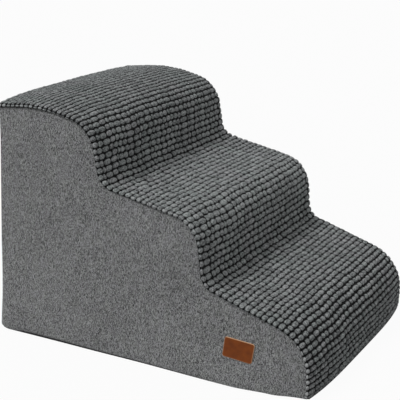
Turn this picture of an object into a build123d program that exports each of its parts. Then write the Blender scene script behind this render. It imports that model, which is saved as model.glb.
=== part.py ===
"""Three-step curved foam stairs for a pet, in a removable cover that closes with a zip at the back.

+X points from the tall back to the low front, +Z is up, and -Y is the side with the leather label.
The origin is the middle of the outer box's length and width, on the floor. Sizes are in millimetres.
"""
from build123d import *
import os

# Body, measured on the line where the side fabric meets the plush fabric
back_height = 381.0
body_length = 554.0
body_width = 424.0
side_bow = 8.0
corner_radius = 12.0

# Wave of the three treads on that line: corners before rounding, as shares of length and height
wave_corner_shares = (
    (0.155, 1.025),
    (0.314, 0.963),
    (0.346, 0.724),
    (0.653, 0.634),
    (0.675, 0.381),
    (0.990, 0.236),
)
swell_radius = 260.0
top_nose_radius = 54.0
upper_valley_radius = 34.0
middle_nose_radius = 51.0
lower_valley_radius = 30.0
bottom_nose_radius = 70.0
wave_is_nose = (True, True, False, True, False, True)
fillet_run_share = 0.97

# How far the middle of the width stands out from that line; a sink is drawn in
top_crown = 7.0
upper_valley_sink = 4.0
middle_nose_crown = 8.0
lower_valley_sink = 6.0
bottom_nose_crown = 12.0
front_crown = 6.0
crown_power = 4

# Plush over the treads: thin at the side seams, full after the edge has rolled over
plush_seam_thickness = 1.5
plush_puff = 6.5
edge_roll = 40.0
edge_roll_shares = ((0.0, 0.0), (0.1, 0.6), (0.35, 0.92), (1.0, 1.0))
wide_station_share = 0.5

# Other fabrics and the foam
panel_thickness = 2.0
base_thickness = 2.0
topper_thickness = 18.0
glue_line_height = 200.0
overrun = 30.0

# Rubber dots under the base
dot_height = 1.0
dot_radius = 4.0
dot_sides = 12
dot_pitch = 75.0
dot_edge_margin = 30.0

# Leather label on the side
label_centre_from_back = 443.0
label_centre_height = 58.0
label_length = 49.0
label_height = 31.0
label_tilt = -5.0
label_thickness = 1.4
label_corner_radius = 3.5

# Zip across the back: chain and tapes
zip_height = 46.0
zip_side_distance = 72.0
zip_opening = 14.0
zip_end_margin = 9.0
tape_thickness = 0.7
tape_outer_reach = 15.0
tape_edge_reach = 1.9
tape_tail = 12.0
tooth_pitch = 3.4
tooth_thickness = 2.6
tooth_root_reach = 3.0
tooth_neck_half = 0.55
tooth_head_half = 0.95
tooth_tip_half = 0.6
tooth_neck_end = 0.15
tooth_shoulder = 0.4
tooth_tip_reach = 1.1
stop_length = 2.4
stop_gap = 0.3

# Slider that runs on the chain
slider_front = 5.5
slider_rear = 5.5
slider_plate = 1.0
slider_rear_half = 4.2
slider_shoulder_half = 5.6
slider_nose_half = 5.0
slider_neck_from_centre = 0.5
slider_shoulder_from_centre = 3.5
slider_wall = 1.0
slider_play = 0.15
tape_play = 0.2
bridge_tip_from_centre = 1.2
bridge_wide_from_centre = 2.6
bridge_half = 1.1
crown_length = 8.2
crown_top_length = 6.8
crown_height = 2.9
crown_bar_thickness = 0.9
crown_width = 2.0
crown_round = 0.7
slider_relief = 0.6

# Pull tab that hangs on the slider
pull_bar_radius = 0.7
pull_bar_lift = 0.3
pull_side_play = 0.25
pull_arm_width = 1.2
pull_window_reach = 5.0
pull_length = 30.0
pull_width = 7.5

# Places worked out from the sizes above
half_width = body_width / 2
zip_length = body_width - 2 * zip_side_distance
base_top = dot_height + base_thickness
tape_centre_depth = panel_thickness + tape_thickness / 2
channel_half = tooth_thickness / 2 + slider_play
plate_outer = channel_half + slider_plate
chain_end = zip_length / 2
slider_centre = chain_end - bridge_tip_from_centre + slider_play
pull_axis_out = plate_outer + pull_bar_lift + pull_bar_radius


def wave_corners(crown_share):
    """Corner points of the wave, from the back to the floor, with a share of the crown put on."""
    points = [Vector(0, back_height)]
    for x_share, z_share in wave_corner_shares:
        points.append(Vector(x_share * body_length, z_share * back_height))
    points.append(Vector(body_length, 0))
    lifts = (top_crown, top_crown, top_crown, -upper_valley_sink, middle_nose_crown,
             -lower_valley_sink, bottom_nose_crown, front_crown)
    moved = []
    for index, point in enumerate(points):
        before = outward(points, max(index - 1, 0))
        after = outward(points, min(index, len(points) - 2))
        moved.append(point + (before + after).normalized() * lifts[index] * crown_share)
    return moved


def outward(points, index):
    """Unit vector that points out of the body, square to the run that starts at a corner."""
    run = (points[index + 1] - points[index]).normalized()
    return Vector(-run.Y, run.X)


def shifted_corners(points, distance):
    """The same corners after every run has moved outwards by a distance."""
    shifted = [points[0] + outward(points, 0) * distance]
    for index in range(1, len(points) - 1):
        before = outward(points, index - 1)
        after = outward(points, index)
        shifted.append(points[index] + (before + after) * (distance / (1 + before.dot(after))))
    shifted.append(points[-1] + outward(points, len(points) - 2) * distance)
    return shifted


def fitted_radii(points, radii):
    """Radii that their runs can hold: where two roundings would meet on a run, both shrink alike."""
    reaches = []
    for index, radius in enumerate(radii):
        before = outward(points, index)
        after = outward(points, index + 1)
        reaches.append(radius * (before - after).length / (before + after).length)
    fits = [1] * len(radii)
    for run in range(len(points) - 1):
        corners = [corner for corner in (run - 1, run) if 0 <= corner < len(radii)]
        room = (points[run + 1] - points[run]).length * fillet_run_share
        fit = min(1, room / sum(reaches[corner] for corner in corners))
        for corner in corners:
            fits[corner] = min(fits[corner], fit)
    return [radius * fit for radius, fit in zip(radii, fits)]


def wave_section(y, crown_share, distance):
    """Section of the space under the wave in the upright plane at y, run on past back and floor."""
    points = shifted_corners(wave_corners(crown_share), distance)
    start_run = (points[0] - points[1]).normalized()
    end_run = (points[-1] - points[-2]).normalized()
    points[0] = points[0] + start_run * overrun
    points[-1] = points[-1] + end_run * overrun
    seam_radii = (swell_radius, top_nose_radius, upper_valley_radius, middle_nose_radius,
                  lower_valley_radius, bottom_nose_radius)
    radii = []
    for radius, is_nose in zip(seam_radii, wave_is_nose):
        radii.append(radius + distance if is_nose else radius - distance)
    top = FilletPolyline(*points, radius=fitted_radii(points, radii))
    sides = Polyline(points[-1], Vector(points[0].X, points[-1].Y), points[0])
    plane = Plane(origin=(0, y, 0), x_dir=(1, 0, 0), z_dir=(0, -1, 0))
    return plane * make_face(Wire(top.edges() + sides.edges()))


def under_wave(stations):
    """Solid under the wave, from stations of (distance inside the side seam, outward distance)."""
    half = [(-half_width - side_bow - overrun, 0, stations[0][1])]
    for inside, distance in stations:
        y = -half_width + inside
        crown_share = 1 - abs(y / half_width) ** crown_power
        half.append((y, crown_share, distance))
    mirrored = [(-y, share, distance) for y, share, distance in reversed(half[:-1])]
    return loft([wave_section(*station) for station in half + mirrored], ruled=True)


def plush_surface():
    """Space under the outside of the plush."""
    stations = [(share * edge_roll, rise * plush_puff) for share, rise in edge_roll_shares]
    stations.append((wide_station_share * half_width, plush_puff))
    stations.append((half_width, plush_puff))
    return under_wave(stations)


def wave_at_depth(depth):
    """Space under the wave at a depth below the seam line."""
    insides = (0, edge_roll, wide_station_share * half_width, half_width)
    return under_wave([(inside, -depth) for inside in insides])


def footprint(inset):
    """Plan of the body: straight back, bowed sides, run on past the front."""
    back = inset
    half = half_width - inset
    near_back = (back, -half)
    near_front = (body_length, -half)
    far_front = (body_length, half)
    far_back = (back, half)
    middle = body_length / 2
    near_side = ThreePointArc(near_back, (middle, -half - side_bow), near_front)
    far_side = ThreePointArc(far_front, (middle, half + side_bow), far_back)
    front = Polyline(near_front, (body_length + overrun, -half), (body_length + overrun, half), far_front)
    rear = Line(far_back, near_back)
    plan = make_face(Wire(near_side.edges() + front.edges() + far_side.edges() + rear.edges()))
    return fillet(plan.vertices().sort_by(Axis.X)[:2], corner_radius - inset)


def upright(plan, bottom, top):
    """A plan drawn up between two heights."""
    return Pos(0, 0, bottom) * extrude(plan, top - bottom)


def box_between(low, high):
    """Box given by its lowest and highest corners."""
    size = [b - a for a, b in zip(low, high)]
    middle = [(a + b) / 2 for a, b in zip(low, high)]
    return Pos(*middle) * Box(*size)


def side_wedge(side):
    """Plan of the room of one side panel, cut off through the middle of the rounded corner."""
    inner = half_width - corner_radius
    outer = half_width + overrun
    reach = outer - inner - corner_radius
    points = [(-reach, side * outer), (corner_radius, side * inner),
              (body_length + overrun, side * inner), (body_length + overrun, side * outer)]
    return make_face(Polyline(*points, close=True))


def zip_plane(along):
    """Plane of the zip chain: X along the zip, Z out of the back, origin at a place on the chain."""
    return Plane(origin=(tape_centre_depth, along, zip_height), x_dir=(0, 1, 0), z_dir=(-1, 0, 0))


def tape_slots(length):
    """Room that the two tapes take in a piece clamped on their edges."""
    width = tape_outer_reach - tape_edge_reach
    slot = Box(length, width, tape_thickness)
    offset = tape_edge_reach + width / 2
    return Pos(0, offset, 0) * slot + Pos(0, -offset, 0) * slot


def tooth():
    """One moulded tooth with a hooked head and a forked foot that grips the edge of its tape."""
    outline = Polyline(
        (-tooth_neck_half, tooth_root_reach),
        (tooth_neck_half, tooth_root_reach),
        (tooth_neck_half, -tooth_neck_end),
        (tooth_head_half, -tooth_shoulder),
        (tooth_tip_half, -tooth_tip_reach),
        (-tooth_tip_half, -tooth_tip_reach),
        (-tooth_head_half, -tooth_shoulder),
        (-tooth_neck_half, -tooth_neck_end),
        close=True,
    )
    blank = Pos(0, 0, -tooth_thickness / 2) * extrude(make_face(outline), tooth_thickness)
    return blank - tape_slots(tooth_pitch)


def tooth_row(side):
    """Every tooth of one tape; the other row stands half a pitch further on."""
    single = tooth() if side > 0 else mirror(tooth(), about=Plane.XZ)
    count = int(zip_length / tooth_pitch)
    first = -chain_end + tooth_pitch / 2
    shift = tooth_pitch / 4 * side
    rows = [zip_plane(first + index * tooth_pitch + shift) * single for index in range(count)]
    return Compound(children=rows)


def zip_tape(side):
    """One woven tape, from the edge that the teeth grip to its sewn edge."""
    low = tape_edge_reach if side > 0 else -tape_outer_reach
    high = tape_outer_reach if side > 0 else -tape_edge_reach
    reach = chain_end + tape_tail
    return box_between((panel_thickness, -reach, zip_height + low),
                       (panel_thickness + tape_thickness, reach, zip_height + high))


def top_stops():
    """Two clamps, one on each tape, that the closed slider stands against."""
    width = tooth_root_reach - tape_edge_reach + slider_wall
    middle = tooth_root_reach - width / 2
    along = slider_centre + slider_front + stop_gap + stop_length / 2
    pair = []
    for side in (-1, 1):
        clamp = Pos(0, side * middle, 0) * Box(stop_length, width, tooth_thickness)
        pair.append(zip_plane(along) * (clamp - tape_slots(stop_length * 2)))
    return Compound(children=pair)


def bottom_stop():
    """One clamp over both tapes, where the open slider ends its travel."""
    clamp = Box(stop_length, 2 * tooth_root_reach, tooth_thickness) - tape_slots(stop_length * 2)
    return zip_plane(-chain_end - stop_length / 2 - slider_play) * clamp


def slider_outline(inset, end_reach):
    """Plan of the slider, or of the channel in it when it is inset and run on past both ends."""
    rear = slider_rear_half - inset
    shoulder = slider_shoulder_half - inset
    nose = slider_nose_half - inset
    half_plan = [
        (-slider_rear - end_reach, rear),
        (slider_neck_from_centre, rear),
        (slider_shoulder_from_centre, shoulder),
        (slider_front, nose),
        (slider_front + end_reach, nose),
    ]
    if end_reach == 0:
        half_plan = half_plan[:-1]
    return make_face(Polyline(*half_plan, *[(x, -y) for x, y in reversed(half_plan)], close=True))


def slider():
    """Slider body: two plates, a wedge between them, side walls slotted for the tapes, and a crown."""
    body = Pos(0, 0, -plate_outer) * extrude(slider_outline(0, 0), 2 * plate_outer)
    channel = extrude(slider_outline(slider_wall, slider_wall), 2 * channel_half)
    body -= Pos(0, 0, -channel_half) * channel
    tape_room = tape_thickness + 2 * tape_play
    body -= Box(2 * (slider_rear + slider_front), 4 * slider_shoulder_half, tape_room)
    wedge_plan = Polyline(
        (bridge_tip_from_centre, 0),
        (bridge_wide_from_centre, bridge_half),
        (slider_front, bridge_half),
        (slider_front, -bridge_half),
        (bridge_wide_from_centre, -bridge_half),
        close=True,
    )
    body += Pos(0, 0, -plate_outer) * extrude(make_face(wedge_plan), 2 * plate_outer)
    return body + Pos(0, 0, plate_outer) * crown()


def crown():
    """Low arch on the outer plate that holds the bar of the pull tab."""
    foot = crown_length / 2
    shoulder = crown_top_length / 2
    outer = Polyline((-foot, 0), (-shoulder, crown_height), (shoulder, crown_height), (foot, 0),
                     close=True)
    inner_foot = foot - crown_bar_thickness
    inner_shoulder = shoulder - crown_bar_thickness
    inner_height = crown_height - crown_bar_thickness
    inner = Polyline((-inner_foot, 0), (-inner_shoulder, inner_height), (inner_shoulder, inner_height),
                     (inner_foot, 0), close=True)
    arch = fillet(make_face(outer).vertices().sort_by(Axis.Y)[2:], crown_round) - make_face(inner)
    upright_plane = Plane(origin=(0, crown_width / 2, 0), x_dir=(1, 0, 0), z_dir=(0, -1, 0))
    return extrude(upright_plane * arch, crown_width)


def pull_tab():
    """Pull tab with a window round the crown and a bar under it, drawn from the bar's axis."""
    arm_outer = crown_width / 2 + pull_side_play + pull_arm_width
    half = pull_width / 2
    widened = pull_window_reach * 2
    round_start = pull_length - half
    neck = Polyline((0, arm_outer), (pull_window_reach, arm_outer), (widened, half), (round_start, half))
    end = ThreePointArc((round_start, half), (pull_length, 0), (round_start, -half))
    back = Polyline((round_start, -half), (widened, -half), (pull_window_reach, -arm_outer),
                    (0, -arm_outer), (0, arm_outer))
    plan = make_face(Wire(neck.edges() + end.edges() + back.edges()))
    window = box_between((-pull_length, -crown_width / 2 - pull_side_play, -pull_length),
                         (pull_window_reach, crown_width / 2 + pull_side_play, pull_length))
    plate = Pos(0, 0, -pull_bar_radius) * extrude(plan, 2 * pull_bar_radius)
    bar = Rot(90, 0, 0) * Cylinder(pull_bar_radius, 2 * arm_outer)
    return plate - window + bar


def rubber_dots():
    """Grid of round dots printed on the underside of the base."""
    room_x = body_length - 2 * dot_edge_margin
    room_y = body_width - 2 * dot_edge_margin
    count_x = int(room_x / dot_pitch) + 1
    count_y = int(room_y / dot_pitch) + 1
    grid = GridLocations(dot_pitch, dot_pitch, count_x, count_y)
    dot = extrude(RegularPolygon(dot_radius, dot_sides), dot_height)
    return Compound(children=[Pos(body_length / 2, 0, 0) * place * dot for place in grid])


def leather_label():
    """Thin patch that follows the bowed side fabric."""
    frame = Plane(origin=(label_centre_from_back, -half_width - side_bow - overrun, label_centre_height),
                  x_dir=(1, 0, 0), z_dir=(0, -1, 0))
    patch = RectangleRounded(label_length, label_height, label_corner_radius)
    punch = extrude(frame * Rot(0, 0, label_tilt) * patch, -2 * overrun)
    skin = upright(footprint(-label_thickness), 0, back_height) - upright(footprint(0), 0, back_height)
    return punch & skin


def make_parts():
    """Every sub-part by node name, with x counted from the back of the cover."""
    ceiling = back_height + overrun
    plush_space = plush_surface()
    cover_space = wave_at_depth(plush_seam_thickness)
    core_space = wave_at_depth(plush_seam_thickness + topper_thickness)
    outer_plan = footprint(0)
    inner_plan = footprint(panel_thickness)
    shell = upright(outer_plan, base_top, ceiling) - upright(inner_plan, base_top, ceiling)
    shell = shell & cover_space
    foam_room = upright(inner_plan, base_top, ceiling)

    parts = {}
    parts["tread_panel"] = (plush_space - cover_space) & upright(outer_plan, base_top, ceiling)
    near_wedge = upright(side_wedge(-1), 0, ceiling)
    far_wedge = upright(side_wedge(1), 0, ceiling)
    parts["side_panel_left"] = shell & near_wedge
    parts["side_panel_right"] = shell & far_wedge
    back = shell - near_wedge - far_wedge
    opening_reach = chain_end + zip_end_margin
    opening = box_between((-overrun, -opening_reach, zip_height - zip_opening / 2),
                          (corner_radius, opening_reach, zip_height + zip_opening / 2))
    back -= opening
    above_zip = box_between((-overrun, -body_width, zip_height), (overrun, body_width, ceiling))
    parts["back_panel"] = back & above_zip
    parts["back_hem_strip"] = back - above_zip
    parts["base_panel"] = upright(outer_plan, dot_height, base_top) & plush_space
    parts["anti_slip_dots"] = rubber_dots()

    tape_pocket = box_between(
        (0, -chain_end - tape_tail, zip_height - tape_outer_reach),
        (panel_thickness + tape_thickness, chain_end + tape_tail, zip_height + tape_outer_reach))
    slider_groove = box_between(
        (0, -chain_end - stop_length * 2, zip_height - slider_shoulder_half - slider_relief),
        (tape_centre_depth + plate_outer + slider_relief, chain_end + tape_tail,
         zip_height + slider_shoulder_half + slider_relief))
    core = foam_room & core_space
    core = core - tape_pocket - slider_groove
    glue_plane = box_between((-overrun, -body_width, glue_line_height),
                             (body_length + overrun, body_width, ceiling))
    parts["foam_lower_block"] = core - glue_plane
    parts["foam_upper_block"] = core & glue_plane
    parts["foam_topper"] = foam_room & (cover_space - core_space)

    parts["leather_label"] = leather_label()
    parts["zip_tape_upper"] = zip_tape(1)
    parts["zip_tape_lower"] = zip_tape(-1)
    parts["zip_teeth_upper"] = tooth_row(-1)
    parts["zip_teeth_lower"] = tooth_row(1)
    parts["zip_top_stops"] = top_stops()
    parts["zip_bottom_stop"] = bottom_stop()
    parts["zip_slider"] = zip_plane(slider_centre) * slider()
    pull_plane = Plane(origin=(tape_centre_depth - pull_axis_out, slider_centre, zip_height),
                       x_dir=(0, -1, 0), z_dir=(-1, 0, 0))
    parts["zip_pull_tab"] = pull_plane * pull_tab()
    return parts


def main():
    """Build every sub-part, set the origin in the middle of the outer box and write the files."""
    os.makedirs("parts", exist_ok=True)
    parts = make_parts()
    front = max(shape.bounding_box().max.X for shape in parts.values())
    back = min(shape.bounding_box().min.X for shape in parts.values())
    middle = (front + back) / 2
    for name, shape in parts.items():
        export_step(Pos(-middle, 0, 0) * shape, f"parts/{name}.step")
    travel = slider_centre - slider_rear + chain_end
    print(f"length {front - back:.2f} middle {middle:.3f} base mount x {body_length / 2 - middle:.3f}")
    print(f"pull axis x {tape_centre_depth - pull_axis_out - middle:.3f}")
    print(f"pull axis y {slider_centre:.3f} z {zip_height:.3f} slider travel {travel:.3f}")


main()
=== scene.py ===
"""Three-step foam stairs for a pet, dressed: bumpy plush over the treads, linen-look cloth round them.

Sizes are in the part's millimetres: X counts from the back of the cover, Y from the middle of the width
and Z from the floor. Meshes are written in metres from the frame's origin.
"""
import math

import bmesh
import bpy
import numpy as np
from mathutils import Matrix, Vector


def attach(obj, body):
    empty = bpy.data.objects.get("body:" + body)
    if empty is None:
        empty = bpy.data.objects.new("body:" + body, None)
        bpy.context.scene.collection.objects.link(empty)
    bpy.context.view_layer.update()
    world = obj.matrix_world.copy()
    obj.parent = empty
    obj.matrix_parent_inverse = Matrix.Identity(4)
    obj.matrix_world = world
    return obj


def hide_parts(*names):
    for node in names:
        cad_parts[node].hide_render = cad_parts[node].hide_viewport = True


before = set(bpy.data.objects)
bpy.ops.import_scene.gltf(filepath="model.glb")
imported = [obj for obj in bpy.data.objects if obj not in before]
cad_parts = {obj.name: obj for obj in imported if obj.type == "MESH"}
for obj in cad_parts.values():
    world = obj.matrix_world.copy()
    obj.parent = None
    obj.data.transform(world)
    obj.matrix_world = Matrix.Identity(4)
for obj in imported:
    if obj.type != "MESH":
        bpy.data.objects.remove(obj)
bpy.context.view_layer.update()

millimetre = 0.001

# Body and wave, as in the part
back_height = 381.0
body_length = 554.0
half_width = 212.0
side_bow = 8.0
base_top = 3.0
centre_from_back = 281.738
wave_corner_shares = (
    (0.155, 1.025), (0.314, 0.963), (0.346, 0.724), (0.653, 0.634), (0.675, 0.381), (0.990, 0.236),
)
wave_radii = (260.0, 54.0, 34.0, 51.0, 30.0, 70.0)
wave_lifts = (7.0, 7.0, 7.0, -4.0, 8.0, -6.0, 12.0, 6.0)
crown_power = 4
arc_steps = 24
wave_steps = 1500
crown_levels = 21
seam_steps = 500

# Plush in rows of bumps across the width; a table's places are shares of the way from back to floor
pile_floor = 2.4
bump_height = 4.6
bump_height_shares = (
    (0.0, 0.42), (0.2, 0.46), (0.27, 0.7), (0.3, 0.85), (0.36, 1.0), (0.43, 0.85), (0.48, 0.68),
    (0.56, 0.72), (0.62, 0.95), (0.68, 0.92), (0.73, 0.7), (0.82, 0.78), (0.88, 1.0), (1.0, 1.0),
)
far_edge_shares = (
    (0.0, 0.4), (0.3, 0.4), (0.36, 0.8), (0.41, 0.5), (0.6, 0.4), (0.65, 0.8), (0.69, 0.5), (0.75, 0.25),
    (1.0, 0.25),
)
far_edge_columns = 3
row_pitches = (
    (0.0, 8.6), (0.22, 8.6), (0.3, 10.6), (0.36, 12.0), (0.42, 9.8), (0.5, 9.4), (0.57, 9.3),
    (0.64, 12.0), (0.68, 12.0), (0.74, 9.6), (0.84, 9.7), (0.92, 9.3), (1.0, 9.3),
)
pitch_steps = 2000
bumps_across = 30
edge_bump_widths = ((0.0, 5.0), (0.1, 5.0), (0.17, 1.5), (0.87, 1.5), (0.9, 6.0), (0.94, 8.0), (1.0, 8.0))
row_steps = (0.0, 0.08, 0.16, 0.32, 0.5, 0.68, 0.84, 0.92)
bump_steps = (0.0, 0.1, 0.26, 0.5, 0.74, 0.9)

# Outline of one bump, its groove to the next row and its notch to the next bump
power_across = 2.7
power_along = 2.5
wall_power = 0.5
groove_shares = (
    (0.0, 0.16), (0.2, 0.14), (0.3, 0.08), (0.36, 0.13), (0.44, 0.03), (0.54, 0.03), (0.62, 0.12),
    (0.7, 0.08), (0.75, 0.04), (0.82, 0.08), (0.88, 0.2), (1.0, 0.22),
)
notch_shares = (
    (0.0, 0.75), (0.2, 0.8), (0.28, 1.03), (0.4, 1.03), (0.46, 0.95), (0.58, 0.95), (0.63, 1.03),
    (0.69, 1.03), (0.74, 0.95), (0.82, 0.97), (0.88, 1.08), (1.0, 1.08),
)
pile_unevenness = 1.2
pile_grain = 260.0

# Rows: how far they sway, wander and sag towards the side seams, away from the ends of the panel
row_sway = 0.4
row_sway_reach = 60
row_wander = 0.32
row_wander_reach = 14
row_wander_layers = 5
row_sags = (
    (0.0, 0.0), (0.12, 2.0), (0.3, 0.0), (0.42, 3.0), (0.6, 0.0), (0.8, 3.5), (0.88, 3.0), (0.97, 0.0),
    (1.0, 0.0),
)
sag_reach = 40.0
still_reach = 30.0

# Notches along a row, in shares of a bump's width
stagger = 0.22
notch_wander = 0.24
notch_wander_rows = 4
notch_drift = 0.02
notch_drift_rows = 2
notch_jitter = 0.14
notch_limit = 0.45
edge_jitter = 0.15
groove_blend = 0.2

# How one bump differs from the next, with painted shade along the plush and painted light on its seam bumps
swell_jitter = 0.13
full_bump_width = 7.0
least_edge_swell = 0.25
edge_swell_power = 0.8
notch_depth_jitter = 0.1
# Painted shade along the plush: how much darker the pile's tone is painted at places from back to floor,
# most on the top and the front
painted_shade_by_place = ((0.0, 0.75), (0.2, 0.6), (0.3, 0.0), (0.6, 0.0), (0.7, 0.2), (0.78, 0.2), (0.9, 0.35), (1.0, 0.35))
tint_rows = 5
tint_spread = 0.35
# Painted light: bumps rolled over the side seams are painted paler from this edge width, in full over the
# next
painted_edge_light_from = 4.0
painted_edge_light_over = 2.0

# Front, foot and backing of the plush
front_draw = -1.0
front_draw_corner = 3.0
front_draw_height = 45.0
plush_foot_gap = 3.0
backing_lift = 0.3
backing_inset = 1.0
backing_stations = 13
plush_merge = 0.001

# Cloth over the sides and the back
cloth_thickness = 1.5
bow_depth = 60.0
seam_puff = 1.4
seam_puff_depth = 4.0
seam_drop = 0.6
foot_bulges = (
    (0.0, 8.0), (25.0, 12.0), (250.0, 14.0), (435.0, 19.0), (500.0, 12.0), (540.0, 3.0), (554.0, 1.0),
)
foot_bulge_heights = ((0.0, 160.0), (250.0, 140.0), (410.0, 66.0), (554.0, 60.0))
foot_bulge_depth = 25.0
foot_heights = (
    (-12.0, 1.6), (22.0, 1.7), (48.0, 4.8), (90.0, 5.0), (200.0, 4.0), (340.0, 3.0), (480.0, 1.8),
    (554.0, 1.6),
)
back_foot = foot_heights[0][1]
foot_tuck = 1.6
foot_tuck_height = 8.0
corner_tuck = 10.0
corner_tuck_reach = 25.0
corner_radius_top = 4.0
corner_radius_bottom = 8.0
corner_top_rise = 0.88
corner_out_share = 0.5
corner_flares = ((0.0, 9.6), (60.0, 6.3), (150.0, 6.0), (330.0, 0.0))
flare_reach = 46.0
side_columns = 150
side_levels = np.concatenate((
    (0, 0.004, 0.01, 0.02, 0.035), np.linspace(0.055, 0.97, 42), (0.978, 0.985, 0.991, 0.996, 1),
))
corner_columns = 5
corner_turns = np.radians((9, 18, 27, 36, 45))
back_columns = 81
back_levels = 50
back_level_power = 0.8
hem_levels = 18

# Slack of the cloth: a few long waves, each a size, two lengths and a phase
slack = 0.7
slack_depth = 40.0
slack_height = 30.0
back_slack_reach = 50.0
side_waves = (
    (0.5, 31.0, 47.0, 0.4), (0.45, -24.0, 38.0, 2.1), (0.35, 18.0, -29.0, 4.0), (0.3, 53.0, 21.0, 1.2),
)
back_waves = ((0.5, 37.0, 41.0, 1.4), (0.45, -29.0, 33.0, 0.3), (0.3, 19.0, -26.0, 3.2))

# Opening for the zip, low on the back
zip_height = 46.0
zip_gap = 14.0
zip_ends = (-143.4, 147.8)
zip_end_step = 0.2
zip_slack_gap = 8.0
back_seam_gap = 0.3
back_seam_depth = 0.5
back_seam_reach = 1.5
back_seam_start = 2.0
stitch_inset = 2.6
stitch_pitch = 3.6
stitch_length = 3.1
thread_thickness = 0.8
thread_lift = 0.12
stitch_path_steps = (120, 8)

# Base cloth, in rings of a height and how far each is drawn in, and the foam above it
base_inset = 0.4
base_corner_gap = 3.0
base_front_gap = 2.0
base_front_reach = 3.0
base_front_share = 0.985
base_side_gap = 0.5
base_side_height = 8.0
base_rings = ((1.0, 0.8), (1.4, 0.2), (2.4, 0.0), (4.6, 0.9))
base_side_steps = 60
base_front_steps = 41
base_back_steps = 61
foam_gap = 1.2

# Leather patch, in rings of an inset, a share of the thickness and a share of cut edge
patch_length = 49.0
patch_height = 31.0
patch_corner = 3.5
patch_thickness = 1.4
patch_sink = 0.1
patch_centre = (443.0, 59.5)
patch_tilt = math.radians(-5)
patch_rings = (
    (0.0, 0.0, 0.8), (0.0, 0.75, 1.0), (0.2, 0.95, 0.7), (0.6, 1.0, 0.1), (1.5, 1.0, 0.0),
    (5.0, 1.02, 0.0), (10.0, 1.02, 0.0),
)

# Camera, with its angles in degrees and its place in metres
camera_azimuth = 27.429
camera_elevation = 16.694
camera_roll = 1.2
camera_place = (0.808249, -1.602066, 0.751946)
camera_lens = 99
camera_sensor = 36

# Light and floor
world_light = 0.53
lamp_light = 1.85
lamp_from = (-0.36, -0.44, 0.82)
lamp_spread = math.radians(20)
floor_white = 0.95
floor_matt = 0.42
floor_reach = 9.0

# Plain finishes: darker and paler tone, grain in features per metre, roughness, depth of relief
plain_looks = {
    "firm_foam": dict(dark=(205, 196, 160), pale=(236, 230, 200), grain=700, rough=(0.9, 1), depth=0.8),
    "soft_foam": dict(dark=(215, 215, 210), pale=(240, 240, 236), grain=900, rough=(0.9, 1), depth=0.8),
    "black_base_cloth": dict(dark=(14, 14, 15), pale=(36, 36, 38), grain=1200, rough=(0.8, 0.95)),
    "black_rubber": dict(dark=(44, 44, 46), pale=(62, 62, 64), grain=500, rough=(0.5, 0.7)),
    "zip_tape": dict(dark=(22, 22, 24), pale=(48, 48, 51), grain=1500, rough=(0.8, 0.95), stretch=(1, 1, 3)),
    "zip_plastic": dict(dark=(18, 18, 19), pale=(34, 34, 36), grain=400, rough=(0.3, 0.45)),
    "black_zip_metal": dict(dark=(30, 30, 32), pale=(58, 58, 60), grain=300, rough=(0.28, 0.45),
                            metallic=0.85),
}
node_finishes = {
    "black_rubber": ("anti_slip_dots",),
    "zip_tape": ("zip_tape_upper", "zip_tape_lower"),
    "zip_plastic": ("zip_teeth_upper", "zip_teeth_lower"),
    "black_zip_metal": ("zip_top_stops", "zip_bottom_stop", "zip_slider", "zip_pull_tab"),
}
foams = {"foam_lower_block": "firm_foam", "foam_upper_block": "firm_foam", "foam_topper": "soft_foam"}

seed = 11
shuffle = np.random.default_rng(seed)


class Signal:
    """One value in a node tree. Python's operators on it add Math nodes."""

    def __init__(self, tree, socket=None):
        self.tree = tree
        self.socket = socket

    def node(self, kind, settings=None, inputs=None, output=0):
        """Any other node: its settings are set first, then the values or links of its sockets."""
        made = self.tree.nodes.new(kind)
        for name, setting in (settings or {}).items():
            setattr(made, name, setting)
        self.feed(made, inputs or {})
        return Signal(self.tree, made.outputs[output])

    def feed(self, node, inputs):
        """Link signals to a node's sockets and set the others."""
        for name, value in inputs.items():
            if isinstance(value, Signal):
                self.tree.links.new(value.socket, node.inputs[name])
            else:
                node.inputs[name].default_value = value

    def maths(self, operation, *values):
        """A Math node that works on signals or numbers."""
        return self.node("ShaderNodeMath", {"operation": operation}, dict(enumerate(values)))

    def __add__(self, other):
        return self.maths("ADD", self, other)

    def __radd__(self, other):
        return self.maths("ADD", other, self)

    def __sub__(self, other):
        return self.maths("SUBTRACT", self, other)

    def __rsub__(self, other):
        return self.maths("SUBTRACT", other, self)

    def __mul__(self, other):
        return self.maths("MULTIPLY", self, other)

    def __rmul__(self, other):
        return self.maths("MULTIPLY", other, self)

    def __truediv__(self, other):
        return self.maths("DIVIDE", self, other)

    def __pow__(self, other):
        return self.maths("POWER", self, other)

    def __abs__(self):
        return self.maths("ABSOLUTE", self)

    def sine(self):
        """Sine of this value as an angle."""
        return self.maths("SINE", self)

    def blend(self, first, second):
        """Colour between two others, with this value as the share of the second."""
        return self.node("ShaderNodeMix", {"data_type": "RGBA"}, {0: self, 6: first, 7: second}, 2)

    def ramp(self, low, high):
        """This value stretched so that low becomes 0 and high becomes 1."""
        return self.node("ShaderNodeMapRange", {"interpolation_type": "SMOOTHSTEP"},
                         {"Value": self, "From Min": low, "From Max": high})


def paint(red, green, blue):
    """Colour for a node from the 0 to 255 values that a picture gives."""
    return (*(((value / 255 + 0.055) / 1.055) ** 2.4 for value in (red, green, blue)), 1.0)


def new_finish(name, look, **details):
    """Material whose surface shader gets the sockets that a look returns; underscores stand for spaces."""
    material = bpy.data.materials.new(name)
    material.use_nodes = True
    start = Signal(material.node_tree)
    surface = next(node for node in material.node_tree.nodes if node.type == "BSDF_PRINCIPLED")
    made = look(start, **details)
    start.feed(surface, {socket.replace("_", " "): value for socket, value in made.items()})
    return material


def own_place(start):
    """Place on the piece in its own coordinates, in metres."""
    return start.node("ShaderNodeTexCoord", output="Object")


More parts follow.
